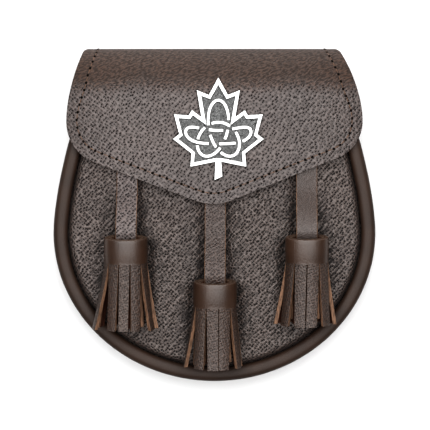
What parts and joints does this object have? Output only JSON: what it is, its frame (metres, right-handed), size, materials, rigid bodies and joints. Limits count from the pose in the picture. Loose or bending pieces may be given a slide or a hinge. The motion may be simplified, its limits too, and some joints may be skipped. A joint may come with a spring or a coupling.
{
  "type": "sporran pouch",
  "caption": "Day sporran lying on its back: rounded leather pouch with edge roll, folded flap, cast maple-leaf badge and leather tassels on straps.",
  "frame": {"origin": "on the floor under the middle of the pouch's box, at its back", "axes": "+Z out of the front, +Y towards the flap's fold, +X to the right as one looks at the front"},
  "size_m": [0.1838, 0.19, 0.056],
  "materials": {
    "grained_leather": "pebbled grain, satin",
    "smooth_leather": "smooth, satin",
    "pewter": "cast and polished, dark in the recesses"
  },
  "bodies": {
    "root": {"front_panel": "grained_leather", "back_panel": "grained_leather", "gusset": "grained_leather", "flap": "grained_leather", "strap_left": "grained_leather", "strap_centre": "grained_leather", "strap_right": "grained_leather", "edge_roll": "smooth_leather", "strap_carrier": "smooth_leather", "tassel_left": "smooth_leather", "tassel_centre": "smooth_leather", "tassel_right": "smooth_leather", "leaf_badge": "pewter", "closure_stud": "pewter"}
  },
  "joints": []
}
